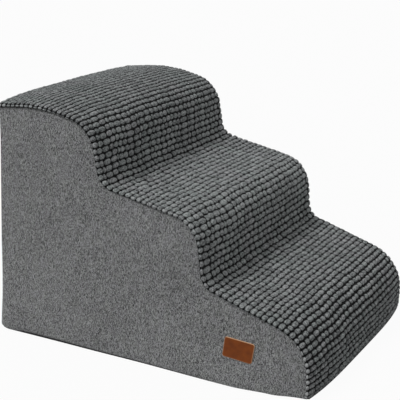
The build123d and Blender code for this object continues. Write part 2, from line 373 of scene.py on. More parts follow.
def noise(start, scale, stretch=(1, 1, 1), detail=2.0, roughness=0.5):
    """Noise on the piece's own coordinates; scale is in features per metre."""
    stretched = start.node("ShaderNodeMapping", inputs={"Vector": own_place(start), "Scale": stretch})
    inputs = {"Vector": stretched, "Scale": scale, "Detail": detail, "Roughness": roughness}
    return start.node("ShaderNodeTexNoise", inputs=inputs)


def bump(start, height, strength, depth):
    """Normal raised by a height signal, with the depth of the relief in millimetres."""
    inputs = {"Height": height, "Strength": strength, "Distance": depth * millimetre}
    return start.node("ShaderNodeBump", inputs=inputs)


def attribute(start, name):
    """A number stored on the mesh."""
    return start.node("ShaderNodeAttribute", {"attribute_name": name}, output="Fac")


def plush_look(start):
    """Short dense pile with painted shade, black in the grooves and paler on the crowns, each bump a little
    different.
    """
    tone_weight, fibre_weight, tuft_weight, patch_weight, shade = 0.25, 0.4, 0.65, 0.3, 0.3
    painted_edge_light, tuft_relief = 0.4, 0.8
    tint = attribute(start, "tint")
    fibre = noise(start, scale=900.0, detail=4.0, roughness=0.7)
    tuft = noise(start, scale=380.0, roughness=0.6)
    patches = noise(start, scale=14.0)
    crown = tint.blend(paint(163, 168, 167), paint(166, 168, 169))
    low = tint.blend(paint(78, 83, 83), paint(81, 83, 84))
    # The tone attribute holds each bump's random tone less the painted shade along the plush
    lightness = (tone_weight * attribute(start, "tone") + fibre_weight * fibre.ramp(low=0.38, high=0.62)
                 + tuft_weight * tuft.ramp(low=0.4, high=0.6) + patch_weight * patches - shade)
    pile_colour = lightness.blend(low, crown)
    # Painted light: bumps rolled over the side seams are painted paler, as if lit on their sides
    pale = (attribute(start, "edge") * painted_edge_light).blend(pile_colour, paint(190, 192, 193))
    # Painted shade: the pile is painted black low on each bump, towards the groove floors
    colour = attribute(start, "pile").ramp(low=0.2, high=0.66).blend(paint(2, 3, 4), pale)
    rough = bump(start, fibre + tuft_relief * tuft, strength=0.7, depth=1.4)
    return dict(Base_Color=colour, Roughness=0.95, Normal=rough, Specular_IOR_Level=0.1, Sheen_Weight=0.1,
                Sheen_Roughness=0.5)


def linen_look(start):
    """Heathered cloth with upright slubs: mixed grey yarns in a plain weave."""
    slub_weight, speck_weight, cloud_weight, weave_weight, shade = 0.55, 0.6, 0.35, 0.16, 0.25
    weave_pitch, weave_relief, slub_relief = 0.9, 0.8, 0.8
    place = {"Vector": own_place(start)}
    x, y, z = (start.node("ShaderNodeSeparateXYZ", inputs=place, output=axis) for axis in range(3))
    threads = 2 * math.pi / (weave_pitch * millimetre)
    weave = ((x + y) * threads).sine() * (z * threads).sine()
    slub = noise(start, scale=190.0, stretch=(4.0, 4.0, 1.25), roughness=0.6).ramp(low=0.43, high=0.57)
    speck = noise(start, scale=680.0, stretch=(1.3, 1.3, 1.0), roughness=0.6).ramp(low=0.43, high=0.57)
    cloud = noise(start, scale=16.0, detail=3.0, roughness=0.6)
    yarn = noise(start, scale=60.0, stretch=(1.5, 1.5, 1.0)).ramp(low=0.35, high=0.65)
    light = slub * slub_weight + speck * speck_weight + cloud * cloud_weight + weave * weave_weight - shade
    colour = light.blend(yarn.blend(paint(28, 29, 30), paint(31, 29, 31)),
                         yarn.blend(paint(167, 169, 168), paint(166, 167, 169)))
    relief = bump(start, weave * weave_relief + slub * slub_relief, strength=0.6, depth=0.6)
    return dict(Base_Color=colour, Roughness=0.9, Normal=relief, Specular_IOR_Level=0.25, Sheen_Weight=0.15,
                Sheen_Roughness=0.6)


def plain_look(start, dark, pale, grain, rough, depth=0.3, stretch=(1, 1, 1), metallic=0.0):
    """Moulded or woven finish: two tones mixed by fine grain, with roughness and relief from it."""
    clouding, fine_weight, broad_weight, shade = 12, 0.7, 0.5, 0.1
    fine = noise(start, scale=grain, stretch=stretch, detail=4.0, roughness=0.6)
    broad = noise(start, scale=grain / clouding, stretch=stretch)
    mask = (fine * fine_weight + broad * broad_weight - shade).ramp(low=0.2, high=0.8)
    roughness = rough[0] + (rough[1] - rough[0]) * fine
    return dict(Base_Color=mask.blend(paint(*dark), paint(*pale)), Roughness=roughness, Metallic=metallic,
                Normal=bump(start, fine, strength=0.5, depth=depth))


def leather_look(start):
    """Saddle-brown leather: fine grain, soft clouding and a paler cut edge."""
    cloud_weight, fine_weight, shade = 0.8, 0.4, 0.1
    pore_scale, pore_relief, fine_relief = 900.0, 0.6, 0.5
    least_rough, rough_spread = 0.55, 0.2
    pores = start.node("ShaderNodeTexVoronoi", inputs={"Vector": own_place(start), "Scale": pore_scale})
    cloud = noise(start, scale=90.0, detail=3.0)
    fine = noise(start, scale=1500.0, detail=3.0)
    mask = (cloud * cloud_weight + fine * fine_weight - shade).ramp(low=0.2, high=0.8)
    face = mask.blend(paint(94, 43, 4), paint(122, 60, 9))
    colour = attribute(start, "cut").blend(face, paint(222, 178, 138))
    grain = bump(start, pores * pore_relief + fine * fine_relief, strength=0.35, depth=0.3)
    return dict(Base_Color=colour, Roughness=least_rough + rough_spread * fine, Normal=grain,
                Specular_IOR_Level=0.25)


def in_frame(points):
    """Points of the part in metres from the frame's origin."""
    return (np.asarray(points, float) - (centre_from_back, 0, 0)) * millimetre


def new_object(name, data):
    """Object that holds a mesh, a camera or a lamp, in the scene."""
    made = bpy.data.objects.new(name, data)
    bpy.context.scene.collection.objects.link(made)
    return made


def new_piece(name, points, faces, finish=None, edges=()):
    """Smooth mesh object from points in the part's millimetres."""
    mesh = bpy.data.meshes.new(name)
    mesh.from_pydata(in_frame(points).tolist(), edges, faces)
    mesh.shade_smooth()
    if finish:
        mesh.materials.append(finish)
    return new_object(name, mesh)


def lattice(rows, columns, first=0):
    """Faces of a grid of points, facing the side from which rows then columns turn left."""
    faces = []
    for row in range(rows - 1):
        for column in range(columns - 1):
            corner = first + row * columns + column
            faces.append((corner, corner + columns, corner + columns + 1, corner + 1))
    return faces


def ring_faces(rings, count):
    """Faces of a closed body made of rings of points, with a cap on the first and the last ring."""
    faces = []
    for ring in range(rings - 1):
        for step in range(count):
            near, beside = ring * count + step, ring * count + (step + 1) % count
            faces.append((near, beside, beside + count, near + count))
    faces.append(list(range(count))[::-1])
    faces.append(list(range((rings - 1) * count, rings * count)))
    return faces


def store(piece, name, values, kind="FLOAT"):
    """Keep a number or a direction at every point of a piece."""
    layer = piece.data.attributes.new(name, kind, "POINT")
    field = "vector" if kind == "FLOAT_VECTOR" else "value"
    layer.data.foreach_set(field, np.asarray(values, float).ravel())


def apply_modifiers(piece):
    """Turn what the modifiers make into the piece's own plain mesh."""
    made = bpy.data.meshes.new_from_object(piece.evaluated_get(bpy.context.evaluated_depsgraph_get()))
    piece.modifiers.clear()
    piece.data = made
    made.name = piece.name


def tidy_faces(piece, merge=0.02, turn_out=True):
    """Merge points that fell together and, where asked, turn every face outwards."""
    shape = bmesh.new()
    shape.from_mesh(piece.data)
    bmesh.ops.remove_doubles(shape, verts=shape.verts, dist=merge * millimetre)
    if turn_out:
        bmesh.ops.recalc_face_normals(shape, faces=shape.faces)
    shape.to_mesh(piece.data)
    shape.free()


def read_table(table, places):
    """Values at places, from a table of places and values, straight between neighbours."""
    return np.interp(places, *zip(*table))


def rise(depth, reach):
    """Soft step from 0 at the surface to 1 at a reach."""
    share = np.clip(depth / reach, 0, 1)
    return share * share * (3 - 2 * share)


def eased(place, table):
    """Value from a table of places and values, with a soft step between neighbours."""
    places, values = np.array(table).T
    step = np.clip(np.searchsorted(places, place, side="right") - 1, 0, len(places) - 2)
    share = rise(place - places[step], places[step + 1] - places[step])
    return values[step] * (1 - share) + values[step + 1] * share


def unit(vector):
    """Direction of a vector, one long."""
    return vector / np.linalg.norm(vector)


def outward(points, run):
    """Direction that points out of the body, square to one run between corners."""
    along = unit(points[run + 1] - points[run])
    return np.array((-along[1], along[0]))


def wave_line(crown_share):
    """Closely spaced points (x, z) of the wave from the back to the base, with a share of the crown."""
    corners = np.vstack(((0, back_height), np.array(wave_corner_shares) * (body_length, back_height),
                         (body_length, 0)))
    moved = []
    for index, corner in enumerate(corners):
        before = outward(corners, max(index - 1, 0))
        after = outward(corners, min(index, len(corners) - 2))
        moved.append(corner + unit(before + after) * wave_lifts[index] * crown_share)
    line = [moved[0]]
    for before, corner, after, radius in zip(moved, moved[1:], moved[2:], wave_radii):
        start, end = unit(before - corner), unit(after - corner)
        half_angle = math.acos(start @ end) / 2
        to_centre = unit(start + end) * radius / math.sin(half_angle)
        reach = radius / math.tan(half_angle)
        for share in np.linspace(0, 1, arc_steps):
            ray = unit((1 - share) * (start * reach - to_centre) + share * (end * reach - to_centre))
            line.append(corner + to_centre + ray * radius)
    last, foot = line[-1], moved[-1]
    line.append(last + (foot - last) * (last[1] - base_top) / (last[1] - foot[1]))
    return np.array(line)


def between(places, known, points):
    """Points (x, z) at places, straight between points at known places."""
    return np.column_stack([np.interp(places, known, points[:, axis]) for axis in (0, 1)])


def along_wave(crown_share, shares):
    """Points of the wave at shares of its length, with the directions along it and out of it."""
    line = wave_line(crown_share)
    lengths = np.append(0, np.cumsum(np.linalg.norm(np.diff(line, axis=0), axis=1)))
    fine = np.linspace(0, 1, wave_steps)
    even = between(fine * lengths[-1], lengths, line)
    slopes = np.gradient(even, axis=0)
    slopes /= np.linalg.norm(slopes, axis=1)[:, None]
    tangents = between(shares, fine, slopes)
    tangents /= np.linalg.norm(tangents, axis=1)[:, None]
    return between(shares, fine, even), tangents, np.column_stack((-tangents[:, 1], tangents[:, 0]))


seam_points = along_wave(0, np.linspace(0, 1, seam_steps))[0]


def crown_at(y):
    """Share of the crown's lift across the width: all in the middle, none at the seams."""
    return 1 - np.abs(y / half_width) ** crown_power


def wave_fan():
    """The wave's points and directions at even shares of the crown, from none to all of it."""
    shares = np.linspace(0, 1, wave_steps)
    return [along_wave(level, shares) for level in np.linspace(0, 1, crown_levels)]


def sample_fan(fan, crown, share):
    """Wave points, directions along and directions out, for any crown share and share of the length."""
    stacks = [np.array([lines[part] for lines in fan]) for part in range(3)]
    level = np.clip(crown, 0, 1) * (len(fan) - 1)
    lower = np.minimum(level.astype(int), len(fan) - 2)
    above = (level - lower)[..., None]
    step = np.clip(share, 0, 1) * (stacks[0].shape[1] - 1)
    before = np.minimum(step.astype(int), stacks[0].shape[1] - 2)
    past = (step - before)[..., None]
    results = []
    for stack in stacks:
        near = stack[lower, before] * (1 - past) + stack[lower, before + 1] * past
        far = stack[lower + 1, before] * (1 - past) + stack[lower + 1, before + 1] * past
        results.append(near * (1 - above) + far * above)
    return results


def smooth_noise(count, reach, columns=1):
    """Wandering values around 0: random numbers averaged over a reach of places."""
    window = np.hanning(2 * reach + 1)
    raw = shuffle.standard_normal((count + 2 * reach, columns))
    soft = np.column_stack([np.convolve(raw[:, column], window, "valid") for column in range(columns)])
    return soft / math.sqrt((window ** 2).sum())


def rolled_total(length):
    """Length over the tips of the pile, with both rolled edges."""
    return length - 2 * pile_floor + math.pi * (pile_floor + bump_height)


def rolled(places, length):
    """Distance on the body and pointing angle for places counted over the tips of the pile."""
    reach = pile_floor + bump_height
    bend = math.pi / 2 * reach
    total = rolled_total(length)
    near, far = (np.clip(past / reach, 0, math.pi / 2) for past in (places, places - total + bend))
    return pile_floor + np.clip(places - bend, 0, total - 2 * bend), near + far


def cell_stations(edges, steps):
    """Places within the cells between edges, each with its cell and its phase from 0 to 1."""
    cells = np.repeat(np.arange(len(edges) - 1), len(steps))
    phases = np.tile(steps, len(edges) - 1)
    places = edges[cells] + phases * (edges[cells + 1] - edges[cells])
    return np.append(places, edges[-1]), np.append(cells, len(edges) - 2), np.append(phases, 1.0)


def row_edges(length):
    """Grooves between the rows, counted over the tips of the pile from the back to the floor."""
    fine = np.linspace(0, length, pitch_steps)
    pitch = read_table(row_pitches, fine / length)
    count = np.append(0, np.cumsum(np.diff(fine) / pitch[1:]))
    rows = round(count[-1])
    return np.interp(np.arange(rows + 1) * count[-1] / rows, count, fine)


def notch_places(rows, shares, width):
    """For every row, the places across the width where one bump ends and the next begins."""
    edge = read_table(edge_bump_widths, shares) * (1 + edge_jitter * shuffle.standard_normal(rows))
    evenly = np.linspace(0, 1, bumps_across + 1)
    inner = edge[:, None] + evenly * (width - 2 * edge[:, None])
    drift = smooth_noise(rows, notch_wander_rows, bumps_across + 1) * notch_wander
    drift += np.cumsum(smooth_noise(rows, notch_drift_rows), axis=0) * notch_drift
    drift += shuffle.standard_normal(drift.shape) * notch_jitter
    drift += stagger * np.where(np.arange(rows) % 2, 1, -1)[:, None]
    drift[:, [0, -1]] = 0
    inner += np.clip(drift, -notch_limit, notch_limit) * width / bumps_across
    return np.hstack((np.zeros((rows, 1)), inner, np.full((rows, 1), width)))


def rows_shared(values, row, phase):
    """Values of each station's row, drawn to the neighbouring row's near the grooves."""
    before = np.clip(1 - phase / groove_blend, 0, 1)[:, None] / 2
    after = np.clip(1 - (1 - phase) / groove_blend, 0, 1)[:, None] / 2
    last = len(values) - 1
    return (values[row] * (1 - before - after) + values[np.maximum(row - 1, 0)] * before
            + values[np.minimum(row + 1, last)] * after)


class PlushGrid:
    """The plush's mesh points: stations from back to floor by places across, each within one bump."""

    def __init__(self):
        self.seam_length = np.linalg.norm(np.diff(wave_line(0), axis=0), axis=1).sum()
        self.length = self.seam_length - plush_foot_gap
        self.edges = row_edges(rolled_total(self.length))
        self.rows = len(self.edges) - 1
        self.stations, self.row, self.row_phase = cell_stations(self.edges, row_steps)
        self.row_middles = (self.edges[1:] + self.edges[:-1]) / 2 / self.edges[-1]
        self.notches = notch_places(self.rows, self.row_middles, rolled_total(2 * half_width))
        self.columns = self.notches.shape[1] - 1
        notches = rows_shared(self.notches, self.row, self.row_phase)
        self.across = np.array([cell_stations(line, bump_steps)[0] for line in notches])
        self.column, self.bump_phase = cell_stations(notches[0], bump_steps)[1:]

    def along(self, table):
        """Column of values at every station, from a table over the way from the back to the floor."""
        return read_table(table, self.stations / self.edges[-1])[:, None]

    def by_bump(self, values):
        """Values of the bumps at every mesh point."""
        return values[np.ix_(self.row, self.column)]


def plush_sway(grid, y):
    """How far along the wave each point strays, as the rows wander and sag."""
    wander = smooth_noise(grid.across.shape[1], row_wander_reach, row_wander_layers)
    wander = wander @ shuffle.standard_normal(row_wander_layers)
    sway = row_sway * smooth_noise(len(grid.stations), row_sway_reach) + row_wander * wander
    sway += grid.along(row_sags) * np.exp((np.abs(y) - half_width) / sag_reach)
    from_end = np.minimum(grid.stations, grid.edges[-1] - grid.stations)[:, None]
    return sway * np.minimum(1, from_end / still_reach)


def plush_heights(grid):
    """Share of the full bump height at every mesh point, less towards the far edge."""
    far = rise(grid.column - (grid.columns - 1 - far_edge_columns), far_edge_columns)
    return grid.along(bump_height_shares) * (1 - far * (1 - grid.along(far_edge_shares)))


def plush_skin(grid, fan, height_share):
    """Points of the plush in its grooves, the way each is raised, and its share of the wave's length."""
    lateral, side_angle = rolled(grid.across, 2 * half_width)
    y = lateral - half_width
    flat, end_angle = rolled(grid.stations[:, None] + plush_sway(grid, y), grid.length)
    share = flat / grid.seam_length
    crown = crown_at(y)
    point, tangent, normal = sample_fan(fan, crown, share)
    upright = np.sin(end_angle)[..., None] * normal - np.cos(end_angle)[..., None] * tangent
    upright *= np.sin(side_angle)[..., None]
    facing = np.stack((upright[..., 0], -np.cos(side_angle), upright[..., 1]), axis=-1)
    rest = pile_floor + bump_height * (1 - height_share)
    skin = np.stack((point[..., 0], y, point[..., 1]), axis=-1) + facing * rest[..., None]
    draw = front_draw + front_draw_corner * (1 - crown)
    front_half = np.clip(share * 2 - 1, 0, 1)
    skin[..., 0] -= draw * (1 - rise(skin[..., 2], front_draw_height)) * front_half
    return skin, facing, share


def plush_backing(fan, shares):
    """Points of the plush's inner face, a few across the width at each station."""
    y = np.linspace(-half_width + backing_inset, half_width - backing_inset, backing_stations)
    share, y = np.meshgrid(shares, y, indexing="ij")
    point, _, normal = sample_fan(fan, crown_at(y), share)
    point = point + normal * backing_lift
    return np.stack((point[..., 0], y, point[..., 1]), axis=-1)


def bump_layers(grid, height_share):
    """What the node tree and the finish read at every mesh point, by name."""
    size = (grid.rows, grid.columns)
    widths = np.diff(grid.notches, axis=1)
    swell = 1 + swell_jitter * shuffle.standard_normal(size)
    edge_share = np.clip(widths[:, [0, -1]] / full_bump_width, least_edge_swell, 1)
    swell[:, [0, -1]] *= edge_share ** edge_swell_power
    # Random tone of each bump, less the painted shade along the plush
    tone = shuffle.random(size) - read_table(painted_shade_by_place, grid.row_middles)[:, None]
    tint = np.clip(0.5 + tint_spread * smooth_noise(grid.rows, tint_rows, grid.columns), 0, 1)
    notch = grid.by_bump(notch_depth_jitter * (shuffle.random(size) - 0.5)) + grid.along(notch_shares)
    last = grid.columns - 1
    at_seam = (grid.column == 0) | (grid.column == last)
    near_half = (grid.column == 1) & (grid.bump_phase < 0.5)
    far_half = (grid.column == last - 1) & (grid.bump_phase > 0.5)
    notch[:, at_seam | near_half | far_half] = 1.0
    # Painted light on the bumps rolled over the side seams, by the width of the edge bump
    pale = np.clip((widths[:, 0] - painted_edge_light_from) / painted_edge_light_over, 0, 1)
    return {
        "across_row": grid.row_phase[:, None],
        "along_row": grid.bump_phase,
        "groove": grid.along(groove_shares),
        "swell": grid.by_bump(swell) * height_share,
        "notch": notch,
        "tone": grid.by_bump(tone),
        "tint": grid.by_bump(tint),
        "edge": np.outer(pale[grid.row], at_seam),
    }


def backing_rim(rows, columns, first):
    """Faces that close the gap between the edge of the bump grid and the edge of the backing."""
    faces = []
    stations = backing_stations
    for row in range(rows - 1):
        near, near_back = row * columns, first + row * stations
        faces.append((near, near_back, near_back + stations, near + columns))
        far, far_back = near + columns - 1, near_back + stations - 1
        faces.append((far, far + columns, far_back + stations, far_back))
    splits = np.linspace(0, columns - 1, stations).round().astype(int)
    for row, turn in ((0, 1), (rows - 1, -1)):
        for station, (low, high) in enumerate(zip(splits, splits[1:])):
            fine = [row * columns + column for column in range(low, high + 1)]
            coarse = [first + row * stations + station + 1, first + row * stations + station]
            faces.append((fine + coarse)[::turn])
    return faces


def plush_panel(finish):
    """The plush: a grid of bumps raised by a node tree, closed by a backing that follows the wave."""
    grid = PlushGrid()
    fan = wave_fan()
    height_share = plush_heights(grid)
    skin, facing, share = plush_skin(grid, fan, height_share)
    backing = plush_backing(fan, share[:, 0])
    rows, columns = share.shape
    faces = lattice(rows, columns)
    faces += [face[::-1] for face in lattice(rows, backing_stations, share.size)]
    faces += backing_rim(rows, columns, share.size)
    panel = new_piece("plush_panel", np.vstack((skin.reshape(-1, 3), backing.reshape(-1, 3))), faces)
    still = np.zeros(rows * backing_stations)
    for name, values in bump_layers(grid, height_share).items():
        store(panel, name, np.append(np.broadcast_to(values, share.shape), still))
    store(panel, "facing", np.append(facing, np.zeros((len(still), 3))), "FLOAT_VECTOR")
    run_tree(panel, "plush_bumps", plush_bumps, {
        "Bump height": bump_height * millimetre,
        "Power across": power_across,
        "Power along": power_along,
        "Wall power": wall_power,
        "Pile unevenness": pile_unevenness * millimetre,
        "Finish": finish,
    })
    tidy_faces(panel, plush_merge)
    return panel


def run_tree(piece, name, build, values):
    """Build a geometry tree with named inputs, run it on a piece and keep the plain mesh with its finish."""
    tree = bpy.data.node_groups.new(name, "GeometryNodeTree")
    for end in ("OUTPUT", "INPUT"):
        tree.interface.new_socket("Geometry", in_out=end, socket_type="NodeSocketGeometry")
    identifiers = {}
    for label, value in values.items():
        kind = "NodeSocketFloat" if isinstance(value, float) else "NodeSocketMaterial"
        identifiers[label] = tree.interface.new_socket(label, in_out="INPUT", socket_type=kind).identifier
    sockets = tree.nodes.new("NodeGroupInput").outputs
    given = {socket.name: Signal(tree, socket) for socket in sockets if socket.name}
    start = Signal(tree)
    real = start.node("GeometryNodeRealizeInstances", inputs={"Geometry": build(start, given)})
    dressed = start.node("GeometryNodeSetMaterial", inputs={"Geometry": real, "Material": given["Finish"]})
    tree.links.new(dressed.socket, tree.nodes.new("NodeGroupOutput").inputs[0])
    modifier = piece.modifiers.new(name, "NODES")
    modifier.node_group = tree
    for label, identifier in identifiers.items():
        modifier[identifier] = values[label]
    apply_modifiers(piece)


def plush_bumps(start, given):
    """Nodes that raise every point of the plush to its height on a bump, and store that height."""

    def stored(name, kind="FLOAT"):
        return start.node("GeometryNodeInputNamedAttribute", {"data_type": kind}, {"Name": name})

    across = abs(stored("across_row") * 2 - 1) / (1 - stored("groove"))
    along = abs(stored("along_row") * 2 - 1)
    outline = across ** given["Power across"] + stored("notch") * along ** given["Power along"]
    height = (1 - outline.maths("MINIMUM", outline, 1)) ** given["Wall power"]
    grain = start.node("ShaderNodeTexNoise", inputs={"Scale": pile_grain, "Detail": 2.0}) - 0.5
    raised = given["Bump height"] * stored("swell") * height + given["Pile unevenness"] * grain * height
    offset = start.node("ShaderNodeVectorMath", {"operation": "SCALE"},
                        {0: stored("facing", "FLOAT_VECTOR"), "Scale": raised})
    marked = start.node("GeometryNodeStoreNamedAttribute", {"data_type": "FLOAT", "domain": "POINT"},
                        {"Geometry": given["Geometry"], "Name": "pile", "Value": height})
    return start.node("GeometryNodeSetPosition", inputs={"Geometry": marked, "Offset": offset})


def bow(x):
    """How far the side stands out past the seam plane."""
    middle = body_length / 2
    return side_bow * np.clip(1 - ((x - middle) / middle) ** 2, 0, 1)


def seam_distance(x, z):
    """Distance of places on the side from the seam line."""
    x, z = np.broadcast_arrays(np.asarray(x, float), np.asarray(z, float))
    gaps = np.stack([x.ravel(), z.ravel()], axis=1)[:, None, :] - seam_points[None, :, :]
    return np.sqrt((gaps ** 2).sum(axis=2).min(axis=1)).reshape(x.shape)


def ripples(a, b, waves):
    """Sum of a few long waves over a surface."""
    return sum(size * np.sin(a / first + b / second + phase) for size, first, second, phase in waves)


def foot_share(x, z):
    """Share of the bulge at the foot that is left at a height: all of it on the floor, none higher up."""
    return 1 - rise(z, eased(x, foot_bulge_heights))


def foot_tucked(z, foot, depth):
    """How far the cloth is drawn in where it turns under at its foot."""
    share = np.clip(1 - (z - foot) / foot_tuck_height, 0, 1)
    return depth * (1 - np.sqrt(1 - share * share))


def cloth_out(x, z):
    """How far the outside of the side cloth stands out past the seam plane."""
    depth = seam_distance(x, z)
    out = bow(x) * rise(depth, bow_depth) + seam_puff * (1 - np.exp(-depth / seam_puff_depth))
    out += np.maximum(eased(x, foot_bulges) - bow(x), 0) * foot_share(x, z) * rise(depth, foot_bulge_depth)
    return out + slack * ripples(x, z, side_waves) * rise(depth, slack_depth) * rise(z, slack_height)


def corner_radius(z):
    """Radius of the upright corner at the back: tight under the plush, rounder at the foot."""
    return corner_radius_bottom + (corner_radius_top - corner_radius_bottom) * rise(z, back_height)


def flare(along, z):
    """How far the foot of a back corner pushes out behind, at a distance from that corner."""
    return read_table(corner_flares, z) * (1 - rise(along, flare_reach))


def corner_shift(x, z):
    """How far forward a point near a back corner lies: behind by the flare, drawn in at the foot."""
    near = 1 - rise(x, corner_tuck_reach)
    return foot_tucked(z, back_foot, corner_tuck) * near - flare(x, z)


def corner_column(step, side):
    """Points down the side cloth on the back corner, from its middle, 0, round to the side, 1."""
    top = back_height - seam_drop + corner_top_rise * step
    z = top + (back_foot - top) * side_levels
    radius = corner_radius(z)
    angle = math.radians(225 + 45 * step)
    x = radius * (1 + math.cos(angle))
    y = half_width - radius - radius * math.sin(angle)
    out = bow(x) + seam_puff * (1 - np.exp((z - top) / seam_puff_depth)) * step
    out += foot_bulges[0][1] * foot_share(np.zeros(1), z) * step
    out -= foot_tucked(z, back_foot, foot_tuck) * step
    x = x + corner_shift(x, z) + out * math.cos(angle) * corner_out_share
    return np.column_stack((x, side * (y - out * math.sin(angle)), z))


def seam_column(x, top, side):
    """Points down the side cloth from the seam line to the foot."""
    foot = float(eased(x, foot_heights))
    z = top + (foot - top) * side_levels
    out = cloth_out(x, z) - foot_tucked(z, foot, foot_tuck)
    return np.column_stack((x + corner_shift(x, z), side * (half_width + out), z))


def side_cloth(name, side, finish):
    """Side cloth: upright columns round the back corner and under the seam line, full below it."""
    columns = [corner_column(step, side) for step in np.linspace(0, 1, corner_columns, endpoint=False)]
    seam = along_wave(0, np.linspace(0, 1, side_columns))[0] - (0, seam_drop)
    columns += [seam_column(x, top, side) for x, top in seam if x > corner_radius_bottom]
    return cloth_sheet(name, np.array(columns), finish, flipped=side < 0)


def cloth_sheet(name, points, finish, flipped=False):
    """Cloth from a grid of points on its outside, with its thickness inside; its cut size is kept."""
    faces = lattice(points.shape[0], points.shape[1])
    if flipped:
        faces = [face[::-1] for face in faces]
    piece = new_piece(name, points.reshape(-1, 3), faces, finish)
    tidy_faces(piece, turn_out=False)
    solid = piece.modifiers.new("thickness", "SOLIDIFY")
    solid.thickness = cloth_thickness * millimetre
    solid.offset = -1
    apply_modifiers(piece)
    piece.data.shade_smooth()
    return piece


def past_zip(y):
    """How far a place lies past the nearer end of the zip's opening, negative above and below it."""
    return np.maximum(zip_ends[0] - y, y - zip_ends[1])


def back_shift(y, z):
    """How far forward of the back plane the outside of the back cloth lies."""
    from_corner = half_width - abs(y)
    from_seam = np.abs(z - zip_height)
    loose = slack * ripples(y, z, back_waves) * rise(from_corner, back_slack_reach)
    loose = loose * rise(from_seam - zip_slack_gap, slack_height)
    dip = back_seam_depth * rise(past_zip(y), back_seam_start) * np.exp(-from_seam / back_seam_reach)
    return corner_shift(from_corner, z) - loose + dip


def back_cloth(name, above_zip, finish):
    """Back cloth above or below the zip, from corner to corner, cut out round the opening."""
    reach = half_width - corner_radius(zip_height)
    beside = [(end + step) / reach for end in zip_ends for step in (-zip_end_step, zip_end_step)]
    columns = [(-1, -turn) for turn in corner_turns[::-1]]
    columns += [(share, 0) for share in np.sort(np.append(np.linspace(-1, 1, back_columns), beside))]
    columns += [(1, turn) for turn in corner_turns]
    rows = []
    for share, turn in columns:
        gap = back_seam_gap / 2 if past_zip(share * reach) > 0 else zip_gap / 2
        if above_zip:
            top = back_height + wave_lifts[0] * crown_at(share * half_width) - seam_drop
            z = top + (zip_height + gap - top) * np.linspace(0, 1, back_levels) ** back_level_power
        else:
            z = np.linspace(zip_height - gap, back_foot, hem_levels)
        radius = corner_radius(z)
        y = share * (half_width - radius) + radius * math.sin(turn)
        x = radius * (1 - math.cos(turn)) + back_shift(y, z)
        rows.append(np.column_stack((x, y, z)))
    return cloth_sheet(name, np.array(rows), finish)


def thread_stitches(start, given):
    """Nodes that lay stitches end to end along a path, each an oval thread turned along it."""
    path = start.node("GeometryNodeMeshToCurve", inputs={"Mesh": given["Geometry"]})
    places = start.node("GeometryNodeResampleCurve", {"mode": "LENGTH"},
                        {"Curve": path, "Length": given["Pitch"]})
    spots = start.node("GeometryNodeCurveToPoints", {"mode": "EVALUATED"}, {"Curve": places})
    along = Signal(start.tree, spots.socket.node.outputs["Tangent"])
    turn = start.node("FunctionNodeAlignRotationToVector", {"axis": "Z"}, {"Vector": along})
    oval = start.node("GeometryNodeMeshUVSphere", inputs={"Segments": 6, "Rings": 5, "Radius": 0.5})
    size = start.node("ShaderNodeCombineXYZ",
                      inputs={"X": given["Thickness"], "Y": given["Thickness"], "Z": given["Length"]})
    return start.node("GeometryNodeInstanceOnPoints",
                      inputs={"Points": spots, "Instance": oval, "Rotation": turn, "Scale": size})


def zip_stitches(finish):
    """Line of stitches round the opening, which holds the tapes to the back cloth."""
    left, right = zip_ends[0] - stitch_inset, zip_ends[1] + stitch_inset
    low, high = (zip_height + side * (zip_gap / 2 + stitch_inset) for side in (-1, 1))
    corners = np.array(((left, high), (right, high), (right, low), (left, low)))
    path = []
    for start, end, steps in zip(corners, np.roll(corners, -1, axis=0), stitch_path_steps * 2):
        path.append(start + (end - start) * np.linspace(0, 1, steps, endpoint=False)[:, None])
    y, z = np.vstack(path).T
    x = back_shift(y, z) + thread_lift
    edges = [(place, (place + 1) % len(y)) for place in range(len(y))]
    stitches = new_piece("zip_stitches", np.column_stack((x, y, z)), [], edges=edges)
    run_tree(stitches, "thread_stitches", thread_stitches, {
        "Pitch": stitch_pitch * millimetre,
        "Length": stitch_length * millimetre,
        "Thickness": thread_thickness * millimetre,
        "Finish": finish,
    })
    stitches.data.shade_smooth()
    return stitches


def patch_ring(inset):
    """Rounded outline of the patch, drawn in by an inset: places along and up from its centre."""
    radius = max(patch_corner - inset, 0)
    past = min(patch_corner - inset, 0)
    half_long = patch_length / 2 - patch_corner + past
    half_high = patch_height / 2 - patch_corner + past
    ring = []
    for corner, (side, end) in enumerate(((1, 1), (-1, 1), (-1, -1), (1, -1))):
        for degrees in range(0, 91, 15):
            angle = math.radians(90 * corner + degrees)
            ring.append((side * half_long + radius * math.cos(angle),
                         end * half_high + radius * math.sin(angle)))
    return ring


def leather_patch(finish):
    """Bare patch: rounded corners, softly rolled edges, laid on the bowed cloth."""
    points = []
    cut = []
    for inset, lift, edge in patch_rings:
        for along, up in patch_ring(inset):
            x = patch_centre[0] + along * math.cos(patch_tilt) - up * math.sin(patch_tilt)
            z = patch_centre[1] + along * math.sin(patch_tilt) + up * math.cos(patch_tilt)
            out = float(cloth_out(x, z)) - patch_sink + lift * patch_thickness
            points.append((x, -half_width - out, z))
            cut.append(edge)
    rings = len(patch_rings)
    patch = new_piece("leather_patch", points, ring_faces(rings, len(points) // rings), finish)
    store(patch, "cut", cut)
    tidy_faces(patch)
    return patch


